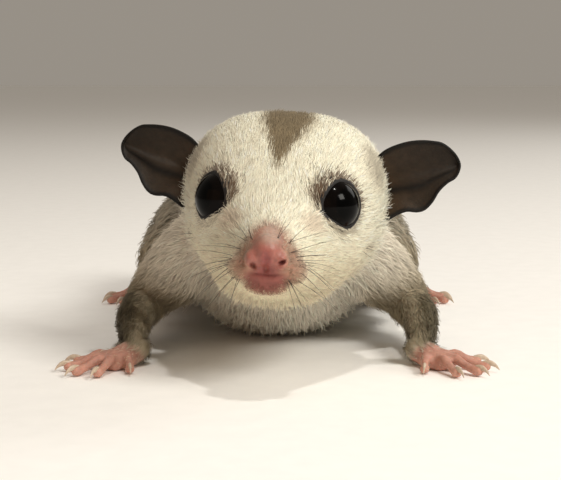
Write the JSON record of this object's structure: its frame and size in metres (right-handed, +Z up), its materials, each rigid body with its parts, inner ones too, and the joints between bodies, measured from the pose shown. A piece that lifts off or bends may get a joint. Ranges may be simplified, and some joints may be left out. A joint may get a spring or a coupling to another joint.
{
  "type": "sugar glider",
  "caption": "Life-size still model of a young white-faced sugar glider, crouched flat on the floor with its head raised and its bushy tail laid behind it.",
  "frame": {"origin": "middle of the whole animal's footprint, on the floor that it rests on", "axes": "+Z up, the animal faces -Y and its left side is at +X"},
  "size_m": [0.0694, 0.2064, 0.0392],
  "materials": {
    "cream_fur": "short soft cream-white fur of the face, neck and belly",
    "grey_fur": "soft grey-brown fur of the back, flanks and limbs",
    "dark_fur": "longer dark grey hair of the outer tail",
    "pink_skin": "bare moist pink skin of the nose, hands and feet",
    "ear_skin": "thin dark brown skin of the ears",
    "eye": "wet black eye"
  },
  "bodies": {
    "root": {"head": "cream_fur", "lower_jaw": "cream_fur", "nose": "pink_skin", "ear_left": "ear_skin", "ear_right": "ear_skin", "eye_left": "eye", "eye_right": "eye", "neck": "cream_fur", "torso": "grey_fur", "upper_arm_left": "grey_fur", "upper_arm_right": "grey_fur", "forearm_left": "grey_fur", "forearm_right": "grey_fur", "hand_left": "pink_skin", "hand_right": "pink_skin", "thigh_left": "grey_fur", "thigh_right": "grey_fur", "shank_left": "grey_fur", "shank_right": "grey_fur", "foot_left": "pink_skin", "foot_right": "pink_skin", "patagium_left": "grey_fur", "patagium_right": "grey_fur", "tail_1": "grey_fur", "tail_2": "grey_fur", "tail_3": "dark_fur", "tail_4": "dark_fur"}
  },
  "joints": []
}
